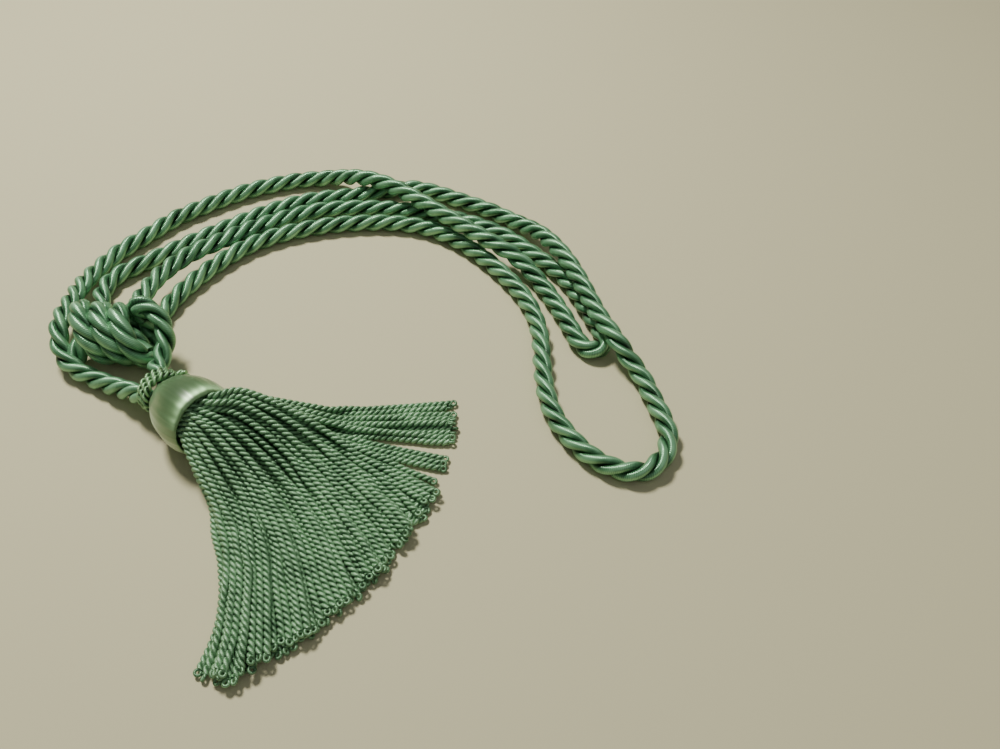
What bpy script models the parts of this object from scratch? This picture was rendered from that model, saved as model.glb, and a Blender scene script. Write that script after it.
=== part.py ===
"""Curtain tieback: a plied rope tied in a wound knot, with a bullion tassel hanging from it.

It lies on a flat surface, as it is laid down: two long rope loops leave the knot, two short
necks run from the knot into the tassel's collar, and the skirt is fanned out. Lengths in
metres, +Z up, the surface is z = 0.
"""

import math

import bmesh
import bpy
import numpy as np

MM = 0.001
PLACE = (-0.3 * MM, -1.4 * MM, 0)  # puts the middle of the tassel and knot over the origin

# --- Rope: three plies laid up left-handed ---------------------------------------------------
ROPE_RADIUS = 5.25 * MM
ROPE_GROOVE_RADIUS = 3.9 * MM
ROPE_LAY = 36 * MM  # length of one full turn of a ply
STEPS_PER_TURN = 8

# --- Tassel axis: from the collar to the open mouth of the head ------------------------------
MOUTH_CENTRE = np.array((-6.7, 16.8, 19.0)) * MM
TASSEL_HEADING = math.radians(-38.8)
TASSEL_DIP = math.radians(5.0)  # the collar end lies lower than the mouth

HEAD_LENGTH = 32.2 * MM
MOUTH_INNER_RADIUS = 17.1 * MM
MOUTH_DEPTH = 4.0 * MM
HEAD_SIDES = 40
COLLAR_GAP = 0.3 * MM
COLLAR_LENGTH = 9.2 * MM
COLLAR_RADIUS = 11.3 * MM
COLLAR_ROWS = 4
COLLAR_ROW_RELIEF = 0.9 * MM
COLLAR_SIDES = 30

# --- Knot: a rope wound four times round the runs that pass through it -----------------------
KNOT_CENTRE = np.array((-74.0, 80.9, 16.3)) * MM
KNOT_HEADING = math.radians(-6)
KNOT_WRAPS = 4
KNOT_WRAP_PITCH = 10.2 * MM
KNOT_CORE_RADIUS = 12.4 * MM
KNOT_WRAP_RADIUS = 4.9 * MM
KNOT_SLANT = 4.5 * MM  # the wraps lean over: their upper back lies to the left
KNOT_PLY_RELIEF = 0.7 * MM
KNOT_SIDES = 66
KNOT_RINGS_PER_WRAP = 7

# --- Skirt: bullion strands rooted in a backing inside the mouth -----------------------------
STRAND_PITCH = 3.1 * MM
STRAND_RADIUS = 1.35 * MM
STRAND_CLEARANCE = 0.8 * MM
SKIRT_ROOT_RADIUS = 13.9 * MM
BACKING_THICKNESS = 3.0 * MM
BACKING_DEPTH = 0.7 * MM
STRAND_STATIONS = (0.0, 0.05, 0.11, 0.18, 0.27, 0.38, 0.52, 0.68, 0.84, 1.0)
SETTLE_STEPS = 60
SETTLE_PUSHES = 60
SETTLE_FALL = 0.4  # how far a strand drops for each length that it runs
STRAND_TOUCH = 2.95 * MM  # strands whose middles are nearer, sideways plus up, would touch
UPPER_LAYER_FROM = 3.0 * MM  # roots above this end in the fan's upper layer

# Where the strands end on the surface, from the right edge of the fan to its left edge.
# share: part of the strands counted so far; x, y: the end; bow: how far the strand bulges
# to its left on the way there; peak: how far along it the bulge is widest. Millimetres.
SKIRT_ENDS = (
    {"share": 0.00, "x": 110, "y": 47, "bow": 1, "peak": 0.38},
    {"share": 0.04, "x": 112, "y": 31, "bow": 0, "peak": 0.38},
    {"share": 0.07, "x": 111, "y": 16, "bow": 0, "peak": 0.38},
    {"share": 0.09, "x": 108, "y": 3, "bow": 2, "peak": 0.38},
    {"share": 0.18, "x": 103, "y": -15, "bow": 13, "peak": 0.37},
    {"share": 0.28, "x": 96, "y": -30, "bow": 17, "peak": 0.36},
    {"share": 0.41, "x": 86, "y": -50, "bow": 16, "peak": 0.35},
    {"share": 0.54, "x": 71, "y": -68, "bow": 13, "peak": 0.42},
    {"share": 0.68, "x": 55, "y": -84, "bow": 13, "peak": 0.48},
    {"share": 0.80, "x": 41, "y": -94, "bow": 13, "peak": 0.52},
    {"share": 0.91, "x": 28, "y": -105, "bow": 14, "peak": 0.56},
    {"share": 1.00, "x": 12, "y": -100, "bow": 15, "peak": 0.60},
)

# --- Routes of the rope's middle, in millimetres ----------------------------------------------
# The narrow loop: from the knot's left end, over the wide loop, round a hairpin and back.
NARROW_LOOP = (
    (-104.6, 107.8, 14.4), (-105, 113, 13.4), (-106, 126, 10.0), (-104, 142, 6.5),
    (-95, 162, 5.3), (-83, 177, 5.3),
    (-70, 193, 5.3), (-54, 206, 5.3), (-35, 219, 5.3), (-13, 229, 5.3), (12, 235, 5.3),
    (30, 232, 9.0), (46, 224, 14.5), (64, 214, 16.5), (98, 186, 16.4), (129, 159, 16.0),
    (142, 151, 13.0), (152, 143, 8.5), (161, 130, 5.4), (168, 115, 5.3), (174, 100, 5.3),
    (179, 86, 5.3), (184, 79.5, 5.3), (190.5, 79.5, 5.3), (193, 87, 5.3), (190, 99, 5.3),
    (184, 115, 5.3), (177, 132, 5.3), (168, 146, 5.3), (155, 160, 5.3), (141, 174, 5.3),
    (123, 186, 5.3), (104, 194, 5.3), (67, 203, 5.3), (30, 203, 5.3), (12, 199, 5.3),
    (-6, 190, 6.0), (-23, 177, 8.0), (-37, 162, 11.0), (-48, 150, 13.0), (-59, 131, 15.0),
    (-63, 115, 17.0), (-65, 98.0, 18.0),
)
# The wide loop: from the knot's left end, under and then over the narrow one, and back.
WIDE_LOOP = (
    (-90.9, 98.8, 6.6), (-93, 112, 5.6), (-95, 126, 5.3), (-91, 139, 5.3), (-80, 149, 5.3),
    (-54, 170, 5.3),
    (-23, 193, 5.3), (10, 211, 5.3), (44, 218, 5.3), (73, 225, 5.3), (90, 222, 5.3),
    (110, 212, 5.3), (130, 201, 5.3), (145, 189, 6.5), (158, 174, 11.0), (168, 156, 15.5),
    (176, 139, 16.4), (182, 122, 16.4), (187, 105, 16.4), (192, 90, 16.5), (198, 78, 15.5),
    (205, 68, 10.0), (211, 59, 6.2), (215, 46, 5.3), (219, 31, 5.3), (220, 17, 5.3),
    (214, 4, 5.3), (204, -2, 5.3), (192, 0, 5.3), (181, 7, 5.3), (171, 19, 5.3),
    (163, 35, 5.3), (159, 60, 5.3), (158, 90, 5.3), (154, 110, 5.3), (146, 128, 5.3),
    (122, 160, 5.3), (89, 184, 5.3), (51, 189, 5.3), (12, 182, 5.3), (-20, 165, 5.3),
    (-41, 140, 5.3), (-50, 124, 5.3), (-55, 110, 5.3), (-57.5, 98.2, 5.3),
)
# The necks: from the knot's ends into the collar.
LEFT_NECK = (
    (-104.6, 107, 14.5), (-104.5, 97, 16.0), (-103.5, 86, 16.0), (-101, 76, 12.0),
    (-94.5, 66.5, 7.5), (-83.5, 60, 5.6), (-70, 53, 6.6), (-57.5, 46, 10.0),
    (-49.5, 41, 13.2), (-44.5, 37.6, 14.9),
)
RIGHT_NECK = (
    (-57.6, 88.6, 29.2), (-51.5, 87.5, 29.0), (-46.2, 84, 25.6), (-43, 79, 20.5),
    (-43, 72, 14.0), (-44.5, 64, 11.5), (-43, 55, 13.2), (-36.7, 47.6, 15.45),
)

# Linear base colours.
ROPE_GREEN = (0.156, 0.347, 0.183)
SKIRT_GREEN = (0.141, 0.319, 0.150)
HEAD_GREEN = (0.212, 0.366, 0.147)


def clear_scene():
    for thing in list(bpy.data.objects):
        bpy.data.objects.remove(thing, do_unlink=True)


def collection(name):
    made = bpy.data.collections.new(name)
    bpy.context.scene.collection.children.link(made)
    return made


def material(name, colour, roughness):
    made = bpy.data.materials.new(name)
    made.use_nodes = True
    shader = made.node_tree.nodes["Principled BSDF"]
    shader.inputs["Base Color"].default_value = (*colour, 1)
    shader.inputs["Roughness"].default_value = roughness
    return made


# --- Shared shape tools -------------------------------------------------------------------------


def smooth_route(points, spacing):
    """Even steps along one smooth curve (a natural cubic) through the points."""
    points = np.asarray(points, float)
    knots = np.r_[0, np.cumsum(np.sqrt(np.linalg.norm(np.diff(points, axis=0), axis=1)))]
    gap = np.diff(knots)
    count = len(points)
    rows, right = np.eye(count), np.zeros((count, 3))
    for i in range(1, count - 1):
        rows[i, i - 1 : i + 2] = gap[i - 1], 2 * (gap[i - 1] + gap[i]), gap[i]
        slope_out = (points[i + 1] - points[i]) / gap[i]
        right[i] = 6 * (slope_out - (points[i] - points[i - 1]) / gap[i - 1])
    bend = np.linalg.solve(rows, right)
    at = np.linspace(0, knots[-1], 40 * count)
    cell = np.clip(np.searchsorted(knots, at) - 1, 0, count - 2)
    ahead, behind = (knots[cell + 1] - at)[:, None], (at - knots[cell])[:, None]
    wide = gap[cell][:, None]
    curve = (bend[cell] * ahead**3 + bend[cell + 1] * behind**3) / (6 * wide)
    curve += (points[cell] / wide - bend[cell] * wide / 6) * ahead
    curve += (points[cell + 1] / wide - bend[cell + 1] * wide / 6) * behind
    run = np.r_[0, np.cumsum(np.linalg.norm(np.diff(curve, axis=0), axis=1))]
    even = np.linspace(0, run[-1], max(2, round(run[-1] / spacing) + 1))
    return np.stack([np.interp(even, run, curve[:, axis]) for axis in range(3)], axis=1)


def loft(name, rings, finish, into):
    """One closed body through rings of equally many points, with a flat cap at each end."""
    mesh = bmesh.new()
    rows = [[mesh.verts.new(point) for point in ring] for ring in rings]
    for lower, upper in zip(rows, rows[1:]):
        for i in range(len(lower)):
            j = (i + 1) % len(lower)
            mesh.faces.new((lower[i], lower[j], upper[j], upper[i]))
    mesh.faces.new(rows[0][::-1])
    mesh.faces.new(rows[-1])
    bmesh.ops.recalc_face_normals(mesh, faces=mesh.faces)
    return finished(name, mesh, finish, into)


def finished(name, mesh, finish, into):
    data = bpy.data.meshes.new(name)
    bmesh.ops.translate(mesh, verts=mesh.verts, vec=PLACE)
    mesh.to_mesh(data)
    mesh.free()
    data.materials.append(finish)
    thing = bpy.data.objects.new(name, data)
    into.objects.link(thing)
    return thing


# --- Rope -----------------------------------------------------------------------------------------


def rope_section(helpers):
    """The rope's cross-section: three round plies, drawn as three lobes and three grooves."""
    data = bpy.data.curves.new("rope_section", "CURVE")
    data.dimensions = "2D"
    data.fill_mode = "NONE"
    line = data.splines.new("POLY")
    line.points.add(5)
    for i, point in enumerate(line.points):
        radius = ROPE_GROOVE_RADIUS if i % 2 else ROPE_RADIUS
        angle = i * math.pi / 3
        point.co = (radius * math.cos(angle), radius * math.sin(angle), 0, 1)
    line.use_cyclic_u = True
    thing = bpy.data.objects.new("rope_section", data)
    thing.hide_render = True
    thing.display_type = "WIRE"
    helpers.objects.link(thing)
    return thing


def rope(name, route_mm, section, finish, into):
    """A length of the plied rope along a route, its twist raised in the tube."""
    step = ROPE_LAY / STEPS_PER_TURN
    route = smooth_route(np.asarray(route_mm, float) * MM, step)
    route[:, 2] = np.maximum(route[:, 2], ROPE_RADIUS)
    data = bpy.data.curves.new(name, "CURVE")
    data.dimensions = "3D"
    data.twist_mode = "MINIMUM"
    data.bevel_mode = "OBJECT"
    data.bevel_object = section
    data.use_fill_caps = True
    line = data.splines.new("POLY")
    line.points.add(len(route) - 1)
    for i, (point, place) in enumerate(zip(line.points, route)):
        point.co = (*place, 1)
        point.tilt = -i * 2 * math.pi / STEPS_PER_TURN
    tube = bpy.data.objects.new(name + "_tube", data)
    into.objects.link(tube)
    bpy.context.view_layer.update()
    swept = bpy.data.meshes.new_from_object(tube.evaluated_get(bpy.context.evaluated_depsgraph_get()))
    bpy.data.objects.remove(tube, do_unlink=True)
    mesh = bmesh.new()
    mesh.from_mesh(swept)
    bmesh.ops.remove_doubles(mesh, verts=mesh.verts, dist=0.001 * MM)
    bmesh.ops.recalc_face_normals(mesh, faces=mesh.faces)
    return finished(name, mesh, finish, into)


# --- Tassel frame ----------------------------------------------------------------------------------


def tassel_axes():
    """Unit vectors: along the tassel towards its skirt, across it to the left, and up."""
    flat = np.array((math.cos(TASSEL_HEADING), math.sin(TASSEL_HEADING), 0))
    along = flat * math.cos(TASSEL_DIP) + np.array((0, 0, math.sin(TASSEL_DIP)))
    across = np.array((-flat[1], flat[0], 0))
    return along, across, np.cross(along, across)


def turned_rings(profile, sides, relief=None):
    """Rings round the tassel's axis: profile rows are (distance behind the mouth, radius)."""
    along, across, up = tassel_axes()
    angles = np.arange(sides) * 2 * math.pi / sides
    around = np.cos(angles)[:, None] * across + np.sin(angles)[:, None] * up
    rings = []
    for back, radius in profile:
        swell = relief(back, angles)[:, None] if relief else 0
        ring = MOUTH_CENTRE - along * back + around * (radius + swell)
        ring[:, 2] = np.maximum(ring[:, 2], 0)  # the flat spot that it rests on
        rings.append(ring)
    return rings


def head(finish, into):
    """The turned head: a dome closed at the collar and cupped at the mouth."""
    dome = (
        (32.2, 8.6), (31.2, 10.6), (27.5, 13.3), (23.0, 15.6), (18.5, 17.3),
        (13.5, 18.35), (8.5, 18.7), (3.5, 18.5), (0.6, 18.1), (0.0, 17.6),
    )
    profile = [(back * MM, radius * MM) for back, radius in dome]
    profile += [(0.0, MOUTH_INNER_RADIUS), (MOUTH_DEPTH, MOUTH_INNER_RADIUS)]
    return loft("head", turned_rings(profile, HEAD_SIDES), finish, into)


def collar(finish, into):
    """The gimp collar: rows of cord wound round the necks' ends, with a bump for each turn."""
    first = HEAD_LENGTH + COLLAR_GAP
    row = COLLAR_LENGTH / COLLAR_ROWS
    profile = [(first, COLLAR_RADIUS - 1.6 * MM)]
    for i in range(COLLAR_ROWS):
        profile.append((first + (i + 0.22) * row, COLLAR_RADIUS))
        profile.append((first + (i + 0.78) * row, COLLAR_RADIUS))
        profile.append((first + (i + 1) * row, COLLAR_RADIUS - COLLAR_ROW_RELIEF))
    profile[-1] = (first + COLLAR_LENGTH, COLLAR_RADIUS - 1.6 * MM)

    def bumps(back, angles):
        row_turn = math.pi * round((back - first) / row)
        return 0.35 * MM * np.cos(angles * COLLAR_SIDES / 3 + row_turn)

    return loft("collar", turned_rings(profile, COLLAR_SIDES, bumps), finish, into)


# --- Knot --------------------------------------------------------------------------------------------


def knot(finish, into):
    """The wound knot: one body with its wraps as ridges and the plies raised on them."""
    along = np.array((math.cos(KNOT_HEADING), math.sin(KNOT_HEADING), 0))
    back = np.array((-along[1], along[0], 0))
    up = np.array((0, 0, 1.0))
    angles = np.arange(KNOT_SIDES) * 2 * math.pi / KNOT_SIDES
    around = np.cos(angles)[:, None] * back + np.sin(angles)[:, None] * up
    lean = -KNOT_SLANT * np.cos(angles - math.radians(40))
    length = KNOT_WRAPS * KNOT_WRAP_PITCH
    ply_gap = ROPE_LAY / 3
    rings = []
    for i in range(KNOT_WRAPS * KNOT_RINGS_PER_WRAP + 1):
        place = i / (KNOT_WRAPS * KNOT_RINGS_PER_WRAP) - 0.5
        wrap = (i / KNOT_RINGS_PER_WRAP - angles / (2 * math.pi)) % 1 - 0.5
        ridge = np.sqrt(np.maximum(0.06, 1 - (1.9 * wrap) ** 2))
        ply = np.cos(2 * math.pi * (angles * KNOT_CORE_RADIUS * 1.35 / ply_gap + 1.05 * wrap))
        shoulder = min(1, (0.5 - abs(place)) * 9 + 0.42)
        radius = KNOT_CORE_RADIUS * shoulder + KNOT_WRAP_RADIUS * ridge * shoulder
        radius = radius + KNOT_PLY_RELIEF * ply * ridge * shoulder - KNOT_PLY_RELIEF
        offset = (place * length + lean)[:, None] * along
        ring = KNOT_CENTRE + offset + around * radius[:, None]
        ring[:, 2] = np.maximum(ring[:, 2], 0)
        rings.append(ring)
    return loft("knot", rings, finish, into)


# --- Skirt -------------------------------------------------------------------------------------------


def strand_roots():
    """Places of the strands in the mouth, across and up, on a grid of diamonds."""
    half = STRAND_PITCH / math.sqrt(2)
    reach = int(SKIRT_ROOT_RADIUS / half) + 1
    places = [
        (column * half, row * half)
        for column in range(-reach, reach + 1)
        for row in range(-reach, reach + 1)
        if (column + row) % 2 == 0
    ]
    return np.array([place for place in places if math.hypot(*place) <= SKIRT_ROOT_RADIUS])


def push_apart(points, runs, gap):
    """Moves strands at one station sideways until they are a gap away from each other."""
    for _ in range(SETTLE_PUSHES):
        away = points[:, None] - points[None]
        away -= (away * runs[:, None]).sum(axis=2, keepdims=True) * runs[:, None]
        far = np.linalg.norm(away, axis=2) + np.eye(len(points)) + 1e-9
        short = np.clip(gap - far, 0, None) * (1 - np.eye(len(points)))
        points = points + 0.45 * (away / far[:, :, None] * short[:, :, None]).sum(axis=1)
        points[:, 2] = np.maximum(points[:, 2], STRAND_RADIUS)
    return points


def strand_paths(roots):
    """Every strand's stations from its root to its end: fanned out, fallen and settled."""
    along, across, up = tassel_axes()
    start = MOUTH_CENTRE - along * BACKING_DEPTH + roots[:, :1] * across + roots[:, 1:] * up
    upper = roots[:, 1] > UPPER_LAYER_FROM
    share = np.empty(len(roots))
    for layer in (upper, ~upper):
        order = np.argsort(-roots[layer, 0] - 0.01 * roots[layer, 1], kind="stable")
        rank = np.empty(layer.sum())
        rank[order] = np.arange(layer.sum()) + 0.5
        share[layer] = rank / layer.sum()
    table = {key: [row[key] for row in SKIRT_ENDS] for key in SKIRT_ENDS[0]}
    end = np.stack([np.interp(share, table["share"], table[key]) * MM for key in "xy"], axis=1)
    bow = np.interp(share, table["share"], table["bow"]) * MM
    chord = end - start[:, :2]
    left = np.stack([-chord[:, 1], chord[:, 0]], axis=1)
    left /= np.linalg.norm(left, axis=1, keepdims=True)

    straight = along[:2] * np.linalg.norm(chord, axis=1, keepdims=True)
    bend = math.log(0.5) / np.log(np.interp(share, table["share"], table["peak"]))

    def laid(part):
        """Where every strand is, part of the way along it: straight out of the mouth at first."""
        free = min(1, part * 9)
        warped = min(part, 1) ** bend
        bulge = left * (bow * 4 * warped * (1 - warped))[:, None]
        return start[:, :2] + straight * part * (1 - free) + (chord * part + bulge) * free

    stations = [start]
    step = np.linalg.norm(chord, axis=1) / SETTLE_STEPS
    clear = 2 * STRAND_RADIUS + STRAND_CLEARANCE
    for i in range(1, SETTLE_STEPS + 1):
        part = i / SETTLE_STEPS
        gap = STRAND_PITCH + (clear - STRAND_PITCH) * min(1, part * 6)
        now = stations[-1].copy()
        now[:, :2] += laid(part) - laid((i - 1) / SETTLE_STEPS)
        now[:, :2] += 0.1 * (laid(part) - now[:, :2])
        if i > 1:
            now[:, 2] -= step * SETTLE_FALL
        now[:, 2] = np.maximum(now[:, 2], STRAND_RADIUS)
        runs = np.zeros_like(now)
        runs[:, :2] = laid(part + 0.01) - laid(part - 0.01)
        runs /= np.linalg.norm(runs, axis=1, keepdims=True)
        stations.append(push_apart(now, runs, gap))
    return np.array(stations)


def kept_strands(lines):
    """The strands that keep clear of all the others: the one that touches the most goes first."""
    ways = [between(line, len(line) * 12) for line in lines]
    touching = np.zeros((len(lines), len(lines)), bool)
    for i, way in enumerate(ways):
        for j in range(i):
            apart = np.abs(way[:, None] - ways[j][None])
            far = (np.hypot(apart[:, :, 0], apart[:, :, 1]) + apart[:, :, 2]).min()
            touching[i, j] = touching[j, i] = far < STRAND_TOUCH
    kept = np.ones(len(lines), bool)
    while (touching[kept][:, kept]).any():
        kept[np.argmax(np.where(kept, touching[:, kept].sum(axis=1), -1))] = False
    return kept


def between(line, count):
    """Places at even steps of the index along a line of few points."""
    at = np.linspace(0, len(line) - 1, count)
    return np.stack([np.interp(at, range(len(line)), line[:, axis]) for axis in range(3)], axis=1)


def strand_point(path, part):
    """A place part of the way along a strand's stations."""
    at = min(max(part, 0), 1) * SETTLE_STEPS
    before = min(int(at), SETTLE_STEPS - 1)
    return path[before] + (path[before + 1] - path[before]) * (at - before)


def skirt(finish, into):
    """The bullion skirt: a backing in the mouth with every strand drawn out of it."""
    along, across, up = tassel_axes()
    roots = strand_roots()
    paths = strand_paths(roots)
    reach = 0.985 + 0.015 * np.sin(np.arange(len(roots)) * 2.4)
    lines = np.array([
        [strand_point(paths[:, i], part * far) for part in STRAND_STATIONS]
        for i, far in enumerate(reach)
    ])
    kept = kept_strands(lines)
    half = STRAND_PITCH / math.sqrt(2)
    corners = ((1, 0), (0, 1), (-1, 0), (0, -1))
    mesh = bmesh.new()
    shared = {}

    def backing_point(column, row, depth):
        key = (column, row, depth)
        if key not in shared:
            place = MOUTH_CENTRE - along * depth + across * column * half + up * row * half
            shared[key] = mesh.verts.new(place)
        return shared[key]

    cells = {(round(a / half), round(b / half)) for a, b in roots}
    bare = {(round(a / half), round(b / half)) for a, b in roots[~kept]}
    for column, row in cells:
        back = [
            backing_point(column + a, row + b, BACKING_DEPTH + BACKING_THICKNESS)
            for a, b in corners
        ]
        mesh.faces.new(back[::-1])
        if (column, row) in bare:
            mesh.faces.new([backing_point(column + a, row + b, BACKING_DEPTH) for a, b in corners])
        for i, (a, b) in enumerate(corners):
            c, d = corners[(i + 1) % 4]
            if (column + a + c, row + b + d) in cells:
                continue
            front = [
                backing_point(column + a, row + b, BACKING_DEPTH),
                backing_point(column + c, row + d, BACKING_DEPTH),
            ]
            mesh.faces.new((back[i], back[(i + 1) % 4], front[1], front[0]))
    for strand in np.flatnonzero(kept):
        a, b = roots[strand]
        column, row = round(a / half), round(b / half)
        ring = [backing_point(column + c, row + d, BACKING_DEPTH) for c, d in corners]
        path = paths[:, strand]
        for part, centre in zip(STRAND_STATIONS, lines[strand]):
            if part == 0:
                run, side, top = along, across, up
            else:
                run = strand_point(path, part + 0.04) - strand_point(path, part - 0.04)
                run /= np.linalg.norm(run)
                side = np.cross((0, 0, 1), run)
                side /= np.linalg.norm(side)
                top = np.cross(run, side)
            places = [centre + (side * c + top * d) * STRAND_RADIUS for c, d in corners]
            upper = [mesh.verts.new(place) for place in places]
            for vertex in upper:
                vertex.co.z = max(vertex.co.z, 0)
            for i in range(4):
                j = (i + 1) % 4
                mesh.faces.new((ring[i], ring[j], upper[j], upper[i]))
            ring = upper
        mesh.faces.new(ring)
    bmesh.ops.recalc_face_normals(mesh, faces=mesh.faces)
    return finished("skirt", mesh, finish, into)


def main():
    clear_scene()
    tieback = collection("curtain_tieback")
    helpers = collection("cutters")
    rope_finish = material("rope_satin", ROPE_GREEN, 0.42)
    knot_finish = material("knot_satin", ROPE_GREEN, 0.42)
    section = rope_section(helpers)
    for name, route in (
        ("loop_wide", WIDE_LOOP),
        ("loop_narrow", NARROW_LOOP),
        ("neck_left", LEFT_NECK),
        ("neck_right", RIGHT_NECK),
    ):
        finish = rope_finish.copy()
        finish.name = name + "_satin"
        rope(name, route, section, finish, tieback)
    knot(knot_finish, tieback)
    collar(material("collar_gimp", SKIRT_GREEN, 0.6), tieback)
    head(material("head_satin", HEAD_GREEN, 0.38), tieback)
    skirt(material("skirt_bullion", SKIRT_GREEN, 0.55), tieback)


main()
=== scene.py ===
"""Curtain tieback laid flat: a three-ply satin rope in two long loops, its wound knot, and a
tassel with a gimp collar, a thread-covered head and a bullion skirt. Metres, +Z up."""

import math

import bmesh
import bpy
import numpy as np
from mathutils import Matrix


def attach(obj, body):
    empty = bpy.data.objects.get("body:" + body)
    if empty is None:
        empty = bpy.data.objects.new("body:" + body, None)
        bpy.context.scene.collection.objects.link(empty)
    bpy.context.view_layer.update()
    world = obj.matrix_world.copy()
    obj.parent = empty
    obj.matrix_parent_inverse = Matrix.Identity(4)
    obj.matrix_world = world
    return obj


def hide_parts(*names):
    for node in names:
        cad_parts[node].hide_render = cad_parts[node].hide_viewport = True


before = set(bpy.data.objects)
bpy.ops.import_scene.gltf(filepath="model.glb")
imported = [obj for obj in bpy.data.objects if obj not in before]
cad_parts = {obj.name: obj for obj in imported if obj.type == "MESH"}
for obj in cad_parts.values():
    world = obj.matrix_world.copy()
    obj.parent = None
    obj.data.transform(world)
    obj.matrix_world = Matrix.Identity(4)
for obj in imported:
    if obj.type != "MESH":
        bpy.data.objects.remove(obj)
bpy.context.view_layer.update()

# --- Table, light and camera ------------------------------------------------------------------
# The tieback lies on a pale tabletop, with a tall window's soft light from behind and to the
# left, and a pale room round it.

MM = 0.001
TABLE_HALF_WIDTH = 3
LIGHT_TARGET = (0.03, 0.06, 0)
CAMERA_PLACE = (0.1357, -0.2444, 0.34851)
CAMERA_DIP = 48.469  # degrees below level
CAMERA_LENS, CAMERA_SENSOR = 30.96, 36  # millimetres


def linear(code):
    """An sRGB hex colour such as "6E9F77" as linear values."""
    parts = [int(code[i : i + 2], 16) / 255 for i in (0, 2, 4)]
    return [p / 12.92 if p <= 0.04045 else ((p + 0.055) / 1.055) ** 2.4 for p in parts] + [1]


def add(tree, kind, inputs=(), **settings):
    """Adds one node with its settings; each input is a value or another node's output."""
    node = tree.nodes.new(kind)
    for key, value in settings.items():
        setattr(node, key, value)
    for key, value in dict(inputs).items():
        if isinstance(value, bpy.types.NodeSocket):
            tree.links.new(value, node.inputs[key])
        else:
            node.inputs[key].default_value = value
    return node


def calculate(tree, operation, *values):
    """One sum on plain values or other nodes' outputs: its result."""
    return add(tree, "ShaderNodeMath", dict(enumerate(values)), operation=operation).outputs[0]


def empty_material(name):
    """A material with nothing but its output, and that output."""
    made = bpy.data.materials.new(name)
    made.use_nodes = True
    made.node_tree.nodes.clear()
    return made, made.node_tree, add(made.node_tree, "ShaderNodeOutputMaterial")


def mesh_object(name, points, faces, finish):
    """A mesh of one material, as an object in the scene."""
    data = bpy.data.meshes.new(name)
    data.from_pydata([tuple(point) for point in points], [], faces)
    data.materials.append(finish)
    thing = bpy.data.objects.new(name, data)
    bpy.context.scene.collection.objects.link(thing)
    return thing


def tabletop():
    """The pale, slightly grainy surface that the tieback lies on."""
    finish, tree, out = empty_material("matt_paper_board")
    place = add(tree, "ShaderNodeTexCoord").outputs["Object"]
    grain = add(tree, "ShaderNodeTexNoise", {"Vector": place, "Scale": 900, "Detail": 3})
    bump = add(
        tree,
        "ShaderNodeBump",
        {"Height": grain.outputs["Fac"], "Strength": 0.12, "Distance": 0.1 * MM},
    )
    shader = add(
        tree,
        "ShaderNodeBsdfPrincipled",
        {"Base Color": linear("CFC9A2"), "Roughness": 0.8, "Normal": bump.outputs["Normal"]},
    )
    tree.links.new(shader.outputs[0], out.inputs["Surface"])
    far = TABLE_HALF_WIDTH
    corners = [(-far, -far, 0), (far, -far, 0), (far, far, 0), (-far, far, 0)]
    return mesh_object("tabletop", corners, [(0, 1, 2, 3)], finish)


def soft_light(name, place, size, power, colour):
    """A square lamp, turned towards the middle of the tieback."""
    data = bpy.data.lights.new(name, "AREA")
    data.shape = "RECTANGLE"
    data.size = data.size_y = size
    data.energy = power
    data.color = linear(colour)[:3]
    light = bpy.data.objects.new(name, data)
    light.location = place
    away = np.array(place) - np.array(LIGHT_TARGET)
    heading, rise = math.atan2(away[1], away[0]), math.hypot(away[0], away[1])
    light.rotation_euler = (math.atan2(rise, away[2]), 0, heading + math.pi / 2)
    bpy.context.scene.collection.objects.link(light)


tabletop()
soft_light("window", (-0.34, 0.62, 1.2), size=0.26, power=23, colour="FFFDF6")
soft_light("room", (0.7, -0.5, 1.3), size=1.6, power=3, colour="F4F7FF")

world = bpy.data.worlds.new("pale_room")
world.use_nodes = True
world.node_tree.nodes["Background"].inputs["Color"].default_value = linear("E4E6E2")
world.node_tree.nodes["Background"].inputs["Strength"].default_value = 0.17
bpy.context.scene.world = world

lens = bpy.data.cameras.new("camera")
lens.sensor_width = CAMERA_SENSOR
lens.lens = CAMERA_LENS
lens.clip_start = 0.01
camera = bpy.data.objects.new("camera", lens)
camera.location = CAMERA_PLACE
camera.rotation_euler = (math.radians(90 - CAMERA_DIP), 0, 0)
bpy.context.scene.collection.objects.link(camera)
bpy.context.scene.camera = camera

# --- Loops of rope -------------------------------------------------------------------------------
# Two long loops to hang the tieback by, of three-ply viscose rope, 10.5 mm thick. Each ply is a
# cotton core wound over with satin yarn, and the three are laid up left-handed.

PLACE = np.array((-0.3, -1.4, 0))  # from the routes' own origin to the part's, in millimetres
ROPE_RADIUS = 5.25 * MM
ROPE_LAY = 34 * MM
PLY_RADIUS = 2.4 * MM
PLY_OFFSET = 2.85 * MM
ROUTE_STEP = 1.5 * MM
FLOOR_GAP = 0.2 * MM

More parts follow.
